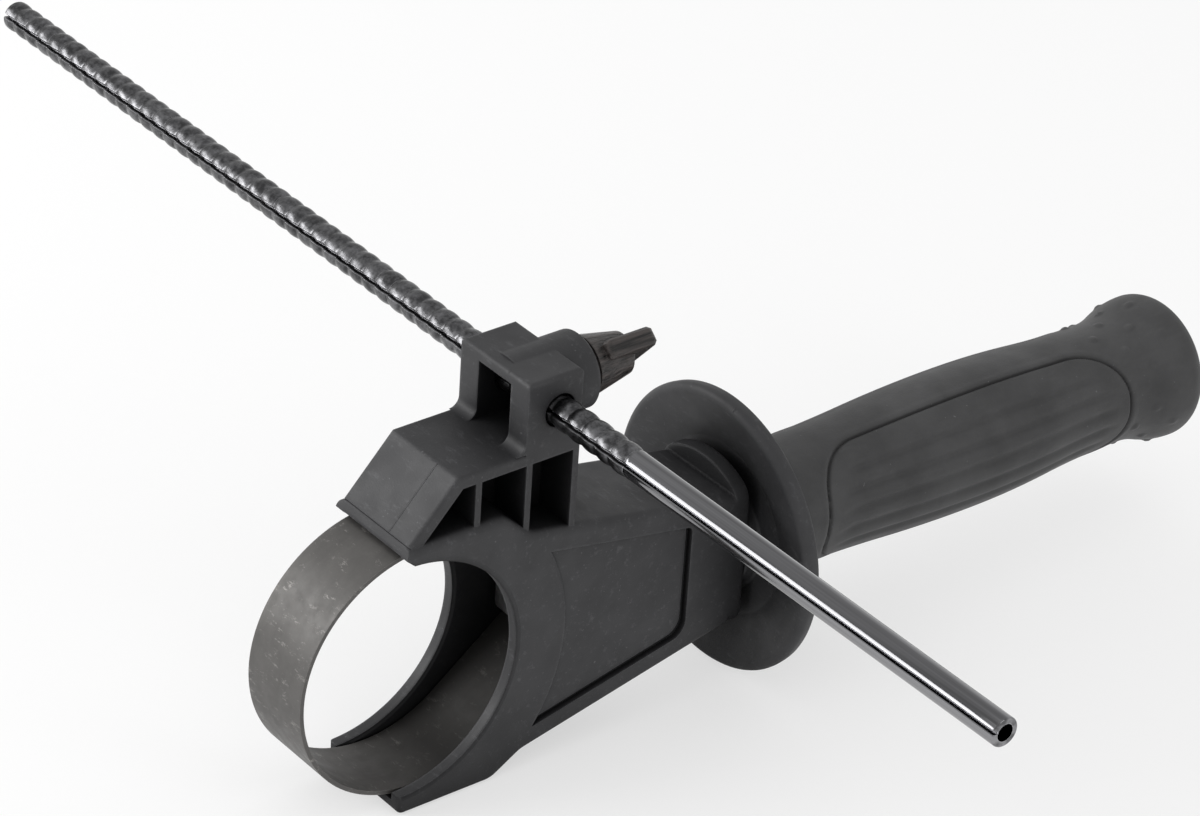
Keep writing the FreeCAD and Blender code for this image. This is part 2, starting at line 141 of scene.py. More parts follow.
# The rod's plain radius, its bore, the rounding of its ends and its seam's depth. A ridge is a full
# arch at a roundness of 1, and squarer below that
TUBE_R = 3.4
ROD_BORE_R = 2.05
ROD_END_R = 0.45
SEAM_DEPTH = 1.25
RIDGE_ROUNDNESS = 0.75

# How far the floor reads as plain white to the eye and in reflections, where 1 would leave no shadow
FLOOR_WHITE = 0.55

# Floor and light, in metres. A lamp has its place from the middle of the handle and its height, the
# point that it shines at, its width and height, and the radiance of its face
FLOOR_HALF = 3.0
FLOOR_GAP = 0.2 * MM
WORLD_STRENGTH = 0.72
LAMPS = (
    ("side_box", (-0.95, 0.90, 0.46), (0.04, 0.0, 0.02), (1.1, 0.36), 8.2),
    ("top_box", (-0.2, -0.2, 1.6), (0.06, 0.0, 0.0), (1.6, 1.6), 0.12),
    ("front_box", (0.3, -1.5, 0.7), (0.06, 0.0, 0.0), (0.6, 0.5), 2.3),
    ("left_box", (-1.5, 0.2, 0.9), (0.0, 0.0, 0.02), (1.3, 1.1), 0.54),
)

# Mesh: the segments of the flange, the widest and closest rings of the sleeve and the rod, and the
# angle from which a corner stays crisp
FLANGE_SEGMENTS = 160
SLEEVE_PITCH = 1.5
SLEEVE_FINE_PITCH = 0.26
ROD_PITCH = 6.0
ROD_FINE_PITCH = 0.36
CRISP_ANGLE = math.radians(38.0)


def slot_colour(slot):
    """The colour that the record gives a material slot."""
    for entry in frame["record"]["materials"]:
        if entry["slot"] == slot:
            return tuple(entry["base_color"][:3])
    raise KeyError(slot)


def smoothstep(low, high, value):
    """0 at low, 1 at high and level at both."""
    t = min(1.0, max(0.0, (value - low) / (high - low)))
    return t * t * (3 - 2 * t)


def bump(distance, width):
    """A soft bump: 1 at no distance, falling to nothing over a few widths."""
    return math.exp(-(distance / width) ** 2)


class Shader:
    """A material's node tree, with a short call that adds a node and joins it to what feeds it."""

    def __init__(self, name):
        self.material = bpy.data.materials.new(name)
        self.material.use_nodes = True
        self.tree = self.material.node_tree
        self.surface = self.tree.nodes["Principled BSDF"]
        self.place = self.add("ShaderNodeTexCoord").outputs["Object"]

    def add(self, kind, inputs=None, **settings):
        node = self.tree.nodes.new(kind)
        for key, value in settings.items():
            setattr(node, key, value)
        for key, value in (inputs or {}).items():
            if isinstance(value, bpy.types.NodeSocket):
                self.tree.links.new(value, node.inputs[key])
            else:
                node.inputs[key].default_value = value
        return node

    def noise(self, scale, detail=2.0, roughness=0.5, stretch=(1, 1, 1)):
        place = self.add("ShaderNodeMapping", {"Vector": self.place, "Scale": stretch}).outputs["Vector"]
        return self.add("ShaderNodeTexNoise", {
            "Vector": place, "Scale": scale, "Detail": detail, "Roughness": roughness}).outputs["Fac"]

    def spread(self, value, low, high, to_low, to_high):
        """Stretches the range from low to high over another, and holds it at its ends."""
        return self.add("ShaderNodeMapRange", {
            "Value": value, "From Min": low, "From Max": high, "To Min": to_low, "To Max": to_high}
        ).outputs["Result"]

    def maths(self, operation, first, second):
        return self.add("ShaderNodeMath", {0: first, 1: second}, operation=operation).outputs["Value"]

    def mix(self, share, first, second):
        return self.add("ShaderNodeMix", {"Factor": share, "A": first, "B": second},
                        data_type="RGBA").outputs["Result"]

    def axis(self, letter):
        return self.add("ShaderNodeSeparateXYZ", {"Vector": self.place}).outputs[letter]

    def along(self, first, second):
        """How far two directions agree, from -1 to 1."""
        node = self.add("ShaderNodeVectorMath", {0: first, 1: second}, operation="DOT_PRODUCT")
        return node.outputs["Value"]

    def rounded(self, radius):
        """The surface's direction, with its edges rounded to a radius."""
        return self.add("ShaderNodeBevel", {"Radius": radius}, samples=4).outputs["Normal"]

    def facing(self, direction):
        """1 where the surface faces a direction, 0 elsewhere."""
        true = self.add("ShaderNodeNewGeometry").outputs["True Normal"]
        return self.spread(self.along(true, direction), 0.95, 0.99, 0.0, 1.0)

    def edges(self, radius):
        """How much an edge turns within a radius: 0 on a flat, towards 1 on a sharp corner."""
        plain = self.add("ShaderNodeNewGeometry").outputs["Normal"]
        return self.spread(self.along(self.rounded(radius), plain), 1.0, 0.75, 0.0, 1.0)

    def lip_chamfer(self):
        """How far the collar's side faces fall away towards the bore, in grain depths."""
        x, z = self.axis("X"), self.axis("Z")
        squares = self.maths("ADD", self.maths("MULTIPLY", x, x), self.maths("MULTIPLY", z, z))
        radius = self.maths("SQRT", squares, 0.0)
        depth = 0.8 * LIP_CHAMFER / GRAIN_DEPTH
        fall = self.spread(radius, COLLAR_BORE_R, COLLAR_BORE_R + LIP_CHAMFER, depth, 0.0)
        sides = self.maths("MAXIMUM", self.facing((0.0, -1.0, 0.0)), self.facing((0.0, 1.0, 0.0)))
        return self.maths("MULTIPLY", fall, sides)

    def openness_for_shade(self, reach):
        """How open a place lies, for painting shade into recesses: 1 in the open, towards 0 deep in a
        recess.
        """
        return self.add("ShaderNodeAmbientOcclusion", {"Distance": reach}, samples=8).outputs["AO"]

    def relief(self, height, depth, radius=0.0):
        """Bump from a height, over edges rounded to a radius."""
        inputs = {"Height": height, "Strength": 1.0, "Distance": depth}
        if radius:
            inputs["Normal"] = self.rounded(radius)
        self.feed("Normal", self.add("ShaderNodeBump", inputs).outputs["Normal"])

    def feed(self, socket, value):
        """Sets one of the surface's own sockets, or joins a node to it."""
        if isinstance(value, bpy.types.NodeSocket):
            self.tree.links.new(value, self.surface.inputs[socket])
        else:
            self.surface.inputs[socket].default_value = value


def shade(colour, factor):
    """A lighter or darker tone of a colour."""
    return tuple(c * factor for c in colour) + (1.0,)


def moulded_plastic(looks):
    """Dark glass filled nylon: a fine dry grain, cloudy patches, scuffs, edges lighter from wear and a
    painted highlight, and painted shade in recesses.
    """
    s = Shader("moulded_plastic")
    base = looks.plastic_colour
    cloud = s.spread(s.noise(70.0, 3.0, 0.6), 0.35, 0.65, 0.0, 1.0)
    colour = s.mix(cloud, shade(base, 1.14), shade(base, 1.48))
    scuff = s.spread(s.noise(420.0, 6.0, 0.8, (1.0, 0.35, 1.0)), 0.56, 0.68, 0.0, 0.55)
    colour = s.mix(scuff, colour, shade(base, 3.4))
    speck = s.spread(s.noise(1300.0, 2.0, 0.5), 0.70, 0.76, 0.0, 0.5)
    colour = s.mix(speck, colour, shade(base, 5.2))
    # Lighter edges: partly wear, partly a painted highlight where the rounded edges catch light
    worn_and_highlit_edges = s.maths("MULTIPLY", s.edges(0.9 * MM), s.spread(s.noise(420.0), 0.35, 0.65, 0.35, 0.9))
    colour = s.mix(worn_and_highlit_edges, colour, shade(base, 3.9))
    # Painted shade: recesses are darker in colour and reflect less, where shade falls
    openness_for_shade = s.spread(s.openness_for_shade(26.0 * MM), 0.25, 0.90, 0.0, 1.0)
    s.feed("Base Color", s.mix(openness_for_shade, shade(base, 0.32), colour))
    s.feed("Specular IOR Level", s.spread(openness_for_shade, 0.0, 1.0, 0.05, 0.33))
    s.feed("Roughness", s.spread(s.noise(160.0, 3.0), 0.3, 0.7, looks.plastic_roughness - 0.05,
                                 looks.plastic_roughness + 0.07))
    grain = s.noise(2600.0, 3.0, 0.6)
    from_line = s.maths("ABSOLUTE", s.maths("SUBTRACT", s.axis("Y"), PARTING_Y), 0.0)
    on_line = s.maths("MULTIPLY", s.spread(from_line, 0.12 * MM, 0.25 * MM, 1.0, 0.0), s.facing(ROOF_NORMAL))
    height = s.maths("ADD", grain, s.maths("MULTIPLY", on_line, 5.0))
    s.relief(s.maths("SUBTRACT", height, s.lip_chamfer()), GRAIN_DEPTH, 1.0 * MM)
    return s.material


def grip_rubber(looks):
    """Soft dark rubber: dusty patches, faint flow marks, fine specks, a leathery grain and painted shade in
    its grooves.
    """
    s = Shader("grip_rubber")
    base = looks.rubber_colour
    cloud = s.spread(s.noise(55.0, 4.0, 0.65), 0.35, 0.65, 0.0, 1.0)
    colour = s.mix(cloud, shade(base, 1.56), shade(base, 2.16))
    flow = s.spread(s.noise(240.0, 5.0, 0.7, (0.3, 1.0, 1.0)), 0.52, 0.72, 0.0, 0.5)
    colour = s.mix(flow, colour, shade(base, 2.5))
    speck = s.spread(s.noise(900.0, 2.0, 0.5), 0.74, 0.78, 0.0, 0.6)
    colour = s.mix(speck, colour, shade(base, 5.2))
    # Painted shade: the panel grooves and other narrow recesses are darker in colour
    openness_for_shade = s.spread(s.openness_for_shade(2.0 * MM), 0.45, 0.95, 0.0, 1.0)
    s.feed("Base Color", s.mix(openness_for_shade, shade(base, 0.58), colour))
    s.feed("Roughness", s.spread(s.noise(120.0, 3.0), 0.3, 0.7, looks.rubber_roughness - 0.06,
                                 looks.rubber_roughness + 0.06))
    s.feed("Specular IOR Level", 0.22)
    s.feed("Sheen Weight", 0.04)
    s.feed("Sheen Roughness", 0.6)
    s.relief(s.noise(1500.0, 4.0, 0.65), 0.06 * MM)
    return s.material


def band_steel(looks):
    """Thin rolled steel with a dull skin, faint rolling lines, short scratches, a painted highlight on its
    edges and painted shade towards its tabs.
    """
    s = Shader("band_steel")
    base = looks.band_colour
    patch = s.spread(s.noise(80.0, 5.0, 0.7), 0.35, 0.68, 0.0, 1.0)
    colour = s.mix(patch, shade(base, 1.1), shade(base, 1.5))
    rolled = s.noise(900.0, 3.0, 0.6, (0.08, 1.0, 0.08))
    colour = s.mix(s.spread(rolled, 0.4, 0.7, 0.0, 0.12), colour, shade(base, 1.8))
    scratch = s.spread(s.noise(420.0, 7.0, 0.8, (1.0, 0.45, 1.3)), 0.57, 0.66, 0.0, 0.9)
    colour = s.mix(scratch, colour, shade(base, 3.6))
    # Painted highlight along the band's edges
    colour = s.mix(s.edges(0.3 * MM), colour, shade(base, 2.6))
    # Painted shade: darker and less reflective towards +X, where the band runs into the arm's shaded cavity
    # by its tabs
    cavity_shade = s.spread(s.axis("X"), -4.0 * MM, 16.0 * MM, 0.0, 0.8)
    s.feed("Base Color", s.mix(cavity_shade, colour, shade(base, 0.16)))
    s.feed("Specular IOR Level", s.spread(cavity_shade, 0.0, 0.8, 0.65, 0.2))
    s.feed("Metallic", 0.45)
    s.feed("Roughness", s.spread(s.noise(300.0, 4.0), 0.3, 0.7, looks.band_roughness - 0.05,
                                 looks.band_roughness + 0.10))
    s.relief(rolled, 0.01 * MM, 0.2 * MM)
    return s.material


def rod_steel(looks):
    """Black nickel plate: smooth with long drawing streaks that also serve as painted reflection bands,
    painted highlights on the seam's lips, and duller along the ridges, where it is darkened as painted
    shade.
    """
    s = Shader("rod_steel")
    base = looks.rod_colour
    ridged = s.spread(s.axis("Y"), (RIDGE_START - 1.0) * MM, RIDGE_START * MM, 0.0, 1.0)
    drawn = s.noise(1400.0, 3.0, 0.5, (1.0, 0.02, 1.0))
    # Lengthwise streaks in tone: drawing streaks, and painted reflection bands round the rod
    streak_and_reflection_band = s.spread(s.noise(520.0, 3.0, 0.55, (1.0, 0.008, 1.0)), 0.36, 0.64, 0.0, 1.0)
    smooth = s.mix(streak_and_reflection_band, shade(base, 0.8), shade(base, 2.1))
    # Ridged part: a random mottle, darkened as painted shade that dims the reflections on the far ridges
    mottle = s.spread(s.noise(380.0, 4.0, 0.7), 0.4, 0.66, 0.0, 1.0)
    ridged_painted_shade = s.mix(mottle, shade(base, 0.39), shade(base, 1.3))
    # Painted highlight on the seam's lips and other edges
    s.feed("Base Color", s.mix(s.edges(0.3 * MM), s.mix(ridged, smooth, ridged_painted_shade), shade(base, 3.9)))
    s.feed("Metallic", 1.0)
    dull = s.spread(drawn, 0.3, 0.7, looks.rod_roughness - 0.04, looks.rod_roughness + 0.08)
    s.feed("Roughness", s.maths("ADD", dull, s.maths("MULTIPLY", ridged, 0.2)))
    s.relief(drawn, 0.005 * MM)
    return s.material


def fastener_steel(looks):
    """Zinc plated steel for the bolt, the nuts and the stud."""
    s = Shader("fastener_steel")
    base = looks.fastener_colour
    cloud = s.spread(s.noise(300.0, 3.0), 0.35, 0.65, 0.0, 1.0)
    s.feed("Base Color", s.mix(cloud, shade(base, 0.85), shade(base, 1.1)))
    s.feed("Metallic", 1.0)
    s.feed("Roughness", s.spread(s.noise(700.0, 3.0), 0.3, 0.7, 0.28, 0.42))
    s.relief(s.noise(900.0, 2.0), 0.01 * MM, 0.2 * MM)
    return s.material


def knob_plastic(looks):
    """Brownish black plastic, glossier than the bracket, scored lengthwise by fingers, its score lines
    painted strongly light and dark as glints, with a painted highlight on its edges.
    """
    s = Shader("knob_plastic")
    base = looks.knob_colour
    # Score lines in tone, painted strongly light and dark so that they read as glints on the wing
    scored = s.noise(950.0, 3.0, 0.6, (0.06, 1.0, 1.0))
    lines = s.spread(scored, 0.38, 0.62, 0.0, 1.0)
    colour = s.mix(lines, shade(base, 0.26), shade(base, 3.1))
    # Painted highlight along the knob's edges
    s.feed("Base Color", s.mix(s.maths("MULTIPLY", s.edges(0.6 * MM), 0.7), colour, shade(base, 4.2)))
    s.feed("Roughness", s.spread(scored, 0.3, 0.7, 0.24, 0.44))
    s.feed("Specular IOR Level", 0.45)
    s.relief(scored, 0.6 * MM, 0.6 * MM)
    return s.material


def dress(node, material):
    """Gives a CAD node its finish."""
    mesh = NODES[node].data
    mesh.materials.clear()
    mesh.materials.append(material)


def sweep(name, rings, close_ends=False, loop=False):
    """A mesh skinned over equal rings of points in millimetres, with its sharp corners kept crisp."""
    mesh = bpy.data.meshes.new(name)
    made = bmesh.new()
    rows = [[made.verts.new(Vector(place) * MM) for place in ring] for ring in rings]
    pairs = list(zip(rows, rows[1:]))
    if loop:
        pairs.append((rows[-1], rows[0]))
    for low, high in pairs:
        for k in range(len(low)):
            on = (k + 1) % len(low)
            made.faces.new((low[k], low[on], high[on], high[k]))
    if close_ends:
        made.faces.new(reversed(rows[0]))
        made.faces.new(rows[-1])
    bmesh.ops.recalc_face_normals(made, faces=made.faces)
    for face in made.faces:
        face.smooth = True
    for edge in made.edges:
        if edge.calc_face_angle(0.0) > CRISP_ANGLE:
            edge.smooth = False
    made.to_mesh(mesh)
    made.free()
    piece = bpy.data.objects.new(name, mesh)
    bpy.context.scene.collection.objects.link(piece)
    return piece


def arc_points(centre, start, end, steps):
    """Places on the arc from start to end round a centre."""
    first, last = start - centre, end - centre
    turn = first.angle(last)
    places = []
    for i in range(steps + 1):
        share = i / steps
        way = (first * math.sin((1 - share) * turn) + last * math.sin(share * turn)) / math.sin(turn)
        places.append(centre + way)
    return places


def rounded_outline(corners, steps=6):
    """A closed outline with each of its corners (x, radius, corner radius) rounded."""
    places = []
    points = [Vector((x, r)) for x, r, corner in corners]
    for i, (x, r, corner) in enumerate(corners):
        here = points[i]
        back = (points[i - 1] - here).normalized()
        on = (points[(i + 1) % len(points)] - here).normalized()
        half = back.angle(on) / 2
        reach = corner / math.tan(half)
        centre = here + (back + on).normalized() * (corner / math.sin(half))
        places += arc_points(centre, here + back * reach, here + on * reach, steps)
    return places


def spaced(start, end, pitch_at):
    """Stations from start to end whose spacing follows pitch_at."""
    stations = [start]
    while stations[-1] + pitch_at(stations[-1]) < end:
        stations.append(stations[-1] + pitch_at(stations[-1]))
    return stations + [end]


def ring_x(x, radius, turns):
    """A ring round the X axis, with turns counted from -Y towards +Z."""
    return [(x, -radius * math.cos(turn), radius * math.sin(turn)) for turn in turns]


class HandleSizes(bpy.types.PropertyGroup):
    """The fine forms of the handle that the solids leave plain, in millimetres."""

    groove_width: FloatProperty(
        name="Groove width", description="Width of the groove round a grip panel, in millimetres",
        default=0.40, min=0.2, max=2.0)
    groove_depth: FloatProperty(
        name="Groove depth", description="Depth of the groove round a grip panel, in millimetres",
        default=0.70, min=0.0, max=1.5)
    flute_depth: FloatProperty(
        name="Flute depth", description="Depth of the long flutes in a grip panel, in millimetres",
        default=0.75, min=0.0, max=1.5)
    nub_height: FloatProperty(
        name="Nub height", description="Height of the nubs on the grip's end, in millimetres",
        default=0.50, min=0.0, max=1.5)
    ridge_pitch: FloatProperty(
        name="Ridge pitch", description="Distance from one rod ridge to the next, in millimetres",
        default=5.0, min=2.0, max=10.0)
    ridge_depth: FloatProperty(
        name="Ridge depth", description="Depth of the grooves between the rod's ridges, in millimetres",
        default=0.48, min=0.0, max=1.0)
    seam_width: FloatProperty(
        name="Seam width", description="Width of the seam along the rod, in millimetres",
        default=0.85, min=0.1, max=1.5)
    grip_segments: IntProperty(
        name="Grip segments", description="Mesh segments round the grip's sleeve",
        default=340, min=48, max=400)
    rod_segments: IntProperty(
        name="Rod segments", description="Mesh segments round the rod", default=64, min=24, max=96)


class HandleLooks(bpy.types.PropertyGroup):
    """The colours and finishes of the handle."""

    plastic_colour: FloatVectorProperty(
        name="Plastic", description="Colour of the bracket and the grip's core",
        subtype="COLOR", default=slot_colour("moulded_plastic"), min=0.0, max=1.0)
    plastic_roughness: FloatProperty(
        name="Plastic roughness", description="How matt the mouldings are",
        subtype="FACTOR", default=0.50, min=0.0, max=1.0)
    rubber_colour: FloatVectorProperty(
        name="Rubber", description="Colour of the grip's soft sleeve",
        subtype="COLOR", default=slot_colour("grip_rubber"), min=0.0, max=1.0)
    rubber_roughness: FloatProperty(
        name="Rubber roughness", description="How matt the sleeve is",
        subtype="FACTOR", default=0.58, min=0.0, max=1.0)
    band_colour: FloatVectorProperty(
        name="Band", description="Colour of the steel band",
        subtype="COLOR", default=(0.070, 0.067, 0.064), min=0.0, max=1.0)
    band_roughness: FloatProperty(
        name="Band roughness", description="How dull the band is",
        subtype="FACTOR", default=0.50, min=0.0, max=1.0)
    rod_colour: FloatVectorProperty(
        name="Rod", description="Colour of the rod's black nickel plate",
        subtype="COLOR", default=slot_colour("rod_steel"), min=0.0, max=1.0)
    rod_roughness: FloatProperty(
        name="Rod roughness", description="How dull the rod is",
        subtype="FACTOR", default=0.09, min=0.0, max=1.0)
    fastener_colour: FloatVectorProperty(
        name="Fasteners", description="Colour of the bolt, nuts and stud",
        subtype="COLOR", default=slot_colour("fastener_steel"), min=0.0, max=1.0)
    knob_colour: FloatVectorProperty(
        name="Knob", description="Colour of the thumb screw's knob",
        subtype="COLOR", default=slot_colour("knob_plastic"), min=0.0, max=1.0)
    floor_colour: FloatVectorProperty(
        name="Floor", description="Colour of the pale floor",
        subtype="COLOR", default=(0.97, 0.97, 0.97), min=0.0, max=1.0)


class HANDLE_OT_mouldings(bpy.types.Operator):
    """Finish the moulded bracket and turn the grip's flange with its softly rounded corners"""

    bl_idname = "handle.mouldings"
    bl_label = "Mouldings"

    def execute(self, context):
        finish = moulded_plastic(context.scene.handle_looks)
        dress("bracket", finish)
        turns = [2 * math.pi * k / FLANGE_SEGMENTS for k in range(FLANGE_SEGMENTS)]
        rings = [ring_x(place.x, place.y, turns) for place in rounded_outline(FLANGE_OUTLINE)]
        piece = sweep("grip_flange", rings, loop=True)
        piece.data.materials.append(finish)
        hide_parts("grip_core")
        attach(piece, "grip")
        return {"FINISHED"}


class HANDLE_OT_clamp(bpy.types.Operator):
    """Finish the clamp band and its bolt"""

    bl_idname = "handle.clamp"
    bl_label = "Clamp band and bolt"

    def execute(self, context):
        looks = context.scene.handle_looks
        dress("clamp_band", band_steel(looks))
        finish = fastener_steel(looks)
        for node in ("clamp_bolt", "grip_nut", "thumb_screw_stud", "thumb_screw_nut"):
            dress(node, finish)
        return {"FINISHED"}


def sleeve_profile(x):
    """The sleeve's radius at x: between stations it follows two equal arcs, level at both ends."""
    if x <= SLEEVE_STATIONS[0][0]:
        return SLEEVE_STATIONS[0][1]
    for (start, low), (end, high) in zip(SLEEVE_STATIONS, SLEEVE_STATIONS[1:]):
        if x <= end:
            run, rise = (end - start) / 2, (high - low) / 2
            arc_r = (run ** 2 + rise ** 2) / (2 * rise)
            from_end = x > start + run
            along = end - x if from_end else x - start
            lift = arc_r * (1 - math.sqrt(1 - (along / arc_r) ** 2))
            return high - lift if from_end else low + lift
    return SLEEVE_STATIONS[-1][1]


def panel_distance(x, arc, half_arc):
    """Signed distance to a panel's outline in the unrolled surface, negative inside."""
    middle = (PANEL_LEFT + PANEL_RIGHT) / 2
    corner = PANEL_LEFT_R if x < middle else PANEL_RIGHT_R
    slant = PANEL_SLANT * arc if x < middle else 0.0
    over_x = abs(x - slant - middle) - (PANEL_RIGHT - PANEL_LEFT) / 2 + corner
    over_arc = abs(arc) - half_arc + corner
    outside = math.hypot(max(over_x, 0.0), max(over_arc, 0.0))
    return outside + min(max(over_x, over_arc), 0.0) - corner


def nub_places():
    """The nubs on the grip's end: staggered rings, with the middle of each side panel's end left clear."""
    places = []
    for x, first, clear in NUB_RINGS:
        for k in range(NUBS_PER_RING):
            turn = first + k * 360.0 / NUBS_PER_RING
            from_panel = abs((turn - math.degrees(PANEL_TURN) + 90.0) % 180.0 - 90.0)
            if from_panel > clear:
                places.append((x, math.radians(turn)))
    return places


def sleeve_outline(start, end):
    """The sleeve's outline as (x, radius): its bore, its side, its rounded shoulder and its end face."""
    knob_x, knob_r = SLEEVE_STATIONS[-1]

    def pitch(x):
        fine = max(bump(x - PANEL_LEFT - 2.5, 8.0), bump(x - PANEL_RIGHT, 17.0))
        return SLEEVE_PITCH + (SLEEVE_FINE_PITCH - SLEEVE_PITCH) * fine

    outline = [(SLEEVE_BORE_END, SLEEVE_BORE_R * k / 3) for k in (1, 2, 3)]
    outline.append((start, SLEEVE_BORE_R))
    outline += [(x, sleeve_profile(x)) for x in spaced(start, knob_x, pitch)]
    for i in range(1, 21):
        turn = math.radians(90.0 * i / 20)
        outline.append((knob_x + (end - knob_x) * math.sin(turn),
                        SLEEVE_END_R + (knob_r - SLEEVE_END_R) * math.cos(turn)))
    return outline + [(end, SLEEVE_END_R * k / 6) for k in (5, 4, 3, 2, 1)]


def sleeve_turns(segments):
    """Angles round the sleeve, closer together beside the long edges of its panels."""
    edges = [side + PANEL_TURN + way * PANEL_HALF_ANGLE for side in (0.0, math.pi) for way in (-1, 1)]
    fine_steps = 3600
    weights = []
    for i in range(fine_steps):
        turn = 2 * math.pi * i / fine_steps
        away = [abs((turn - edge + math.pi) % (2 * math.pi) - math.pi) for edge in edges]
        weights.append(1.0 + 2.2 * bump(min(away), math.radians(5.0)))
    step = sum(weights) / segments
    turns, reached = [], 0.0
    for i, weight in enumerate(weights):
        if reached >= step * len(turns) - 1e-9 and len(turns) < segments:
            turns.append(2 * math.pi * i / fine_steps)
        reached += weight
    return turns


def panel_relief(x, turn, radius, sizes):
    """Height of the panels' grooves, lips and flutes over the plain sleeve."""
    lift = 0.0
    for side in (0.0, math.pi):
        angle = (turn - PANEL_TURN - side + math.pi) % (2 * math.pi) - math.pi
        if abs(angle) > PANEL_REACH:
            continue
        arc = angle * radius
        gap = panel_distance(x, arc, PANEL_HALF_ANGLE * radius)
        lift -= sizes.groove_depth * bump(gap, sizes.groove_width)
        lift += PANEL_LIP_HEIGHT * bump(gap - PANEL_LIP_OFF, PANEL_LIP_WIDTH)
        lift -= PANEL_SINK * smoothstep(0.0, -PANEL_SINK_RUN, gap)
        depth = sizes.flute_depth * smoothstep(*FLUTE_RUN_OUT, gap)
        for flute in FLUTES:
            lift -= depth * bump(arc - math.radians(flute) * radius, FLUTE_WIDTH)
    return lift


def nub_relief(x, turn, radius, nubs, height):
    """Height of the nubs on the sleeve's end."""
    lift = 0.0
    for place, nub_turn in nubs:
        if abs(x - place) < NUB_FOOT_R:
            angle = (turn - nub_turn + math.pi) % (2 * math.pi) - math.pi
            away = math.hypot(x - place, angle * radius)
            lift += height * smoothstep(NUB_FOOT_R, NUB_TOP_R, away)
    return lift


class HANDLE_OT_sleeve(bpy.types.Operator):
    """Mould the grip's soft sleeve with its side panels, flutes and nubs"""

    bl_idname = "handle.sleeve"
    bl_label = "Grip sleeve"

    def execute(self, context):
        sizes = context.scene.handle_sizes
        low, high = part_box("grip_sleeve")
        start, end = low.x / MM, high.x / MM
        nubs = nub_places()
        turns = sleeve_turns(sizes.grip_segments)
        rings = []
        for x, radius in sleeve_outline(start, end):
            ring = []
            for turn in turns:
                r = radius
                if start < x < end - 0.5 and radius > SLEEVE_BORE_R:
                    r += panel_relief(x, turn, radius, sizes)
                    r += nub_relief(x, turn, radius, nubs, sizes.nub_height)
                ring.append((x, -r * math.cos(turn), r * math.sin(turn)))
            rings.append(ring)
        piece = sweep("grip_sleeve_moulding", rings, close_ends=True)
        piece.data.materials.append(grip_rubber(context.scene.handle_looks))
        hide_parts("grip_sleeve")
        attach(piece, "grip")
        return {"FINISHED"}


def rod_outline(near_y, far_y, outer_r, sizes):
    """The rod's side as (y, radius), with its ends rounded and its ridges rolled in."""

    def side(y):
        phase = ((y - RIDGE_START) / sizes.ridge_pitch) % 1.0
        ridge = outer_r - sizes.ridge_depth * (1 - math.sin(math.pi * phase) ** RIDGE_ROUNDNESS)
        return TUBE_R + (ridge - TUBE_R) * smoothstep(RIDGE_START - 1.5, RIDGE_START, y)

    def pitch(y):
        return ROD_PITCH if y < RIDGE_START - 8.0 else ROD_FINE_PITCH

    outline = [(y, side(y)) for y in spaced(near_y + ROD_END_R, far_y - ROD_END_R, pitch)]
    for end_y, way in ((near_y, 1), (far_y, -1)):
        outer = side(end_y + way * ROD_END_R)
        cap = []
        for i in range(5):
            turn = math.radians(90.0 * i / 5)
            back = ROD_END_R * (1 - math.cos(turn))
            drop = ROD_END_R * (1 - math.sin(turn))
            cap.append((end_y + way * back, outer - drop))
        outline = cap + outline if way == 1 else outline + cap[::-1]
    return outline


def rod_place(y, radius, turn):
    """A place on the rod, with turns counted from its seam."""
    angle = SEAM_ANGLE + turn
    return ROD_X + radius * math.cos(angle), y, ROD_Z + radius * math.sin(angle)


class HANDLE_OT_rod(bpy.types.Operator):
    """Roll the depth gauge rod with its ridges and its seam"""

    bl_idname = "handle.rod"
    bl_label = "Depth gauge rod"

    def execute(self, context):
        sizes = context.scene.handle_sizes
        low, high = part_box("depth_rod")
        outer_r = (high.z - low.z) / 2 / MM
        half = sizes.seam_width / 2
        # Half of the seam, as (distance from its middle, depth): its floor, its wall and its rounded lip
        lips = [(0.0, SEAM_DEPTH), (half, SEAM_DEPTH), (half, 0.3), (half + 0.06, 0.12), (half + 0.22, 0.0)]
        plain = sizes.rod_segments - 2 * len(lips) + 1
        rings = []
        for y, radius in rod_outline(low.y / MM, high.y / MM, outer_r, sizes):
            lip = [(across / radius, drop) for across, drop in lips]
            first = lip[-1][0]
            step = 2 * (math.pi - first) / (plain + 1)
            round_back = [(first + step * (k + 1), 0.0) for k in range(plain)]
            section = lip + round_back + [(2 * math.pi - turn, drop) for turn, drop in reversed(lip[1:])]
            rings.append([rod_place(y, max(radius - drop, ROD_BORE_R), turn) for turn, drop in section])
        turns = [turn for turn, drop in section]
        for y in (high.y / MM, low.y / MM):
            rings.append([rod_place(y, ROD_BORE_R - 0.05, turn) for turn in turns])
        piece = sweep("depth_rod_tube", rings, loop=True)
        piece.data.materials.append(rod_steel(context.scene.handle_looks))
        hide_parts("depth_rod")
        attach(piece, "rod")
        return {"FINISHED"}


class HANDLE_OT_thumb_screw(bpy.types.Operator):
    """Finish the thumb screw's winged knob"""

    bl_idname = "handle.thumb_screw"
    bl_label = "Thumb screw"

    def execute(self, context):
        dress("thumb_screw_knob", knob_plastic(context.scene.handle_looks))
        return {"FINISHED"}


def lamp(name, place, aim, width, height, radiance):
    """A soft box that shines at a point, with the radiance of its face."""
    data = bpy.data.lights.new(name, "AREA")
    data.shape = "RECTANGLE"
    data.size = width
    data.size_y = height
    data.energy = radiance * math.pi * width * height
    box = bpy.data.objects.new(name, data)
    box.location = place
    box.rotation_mode = "QUATERNION"
    box.rotation_quaternion = (Vector(aim) - Vector(place)).to_track_quat("-Z", "Y")
    box.visible_camera = False
    bpy.context.scene.collection.objects.link(box)


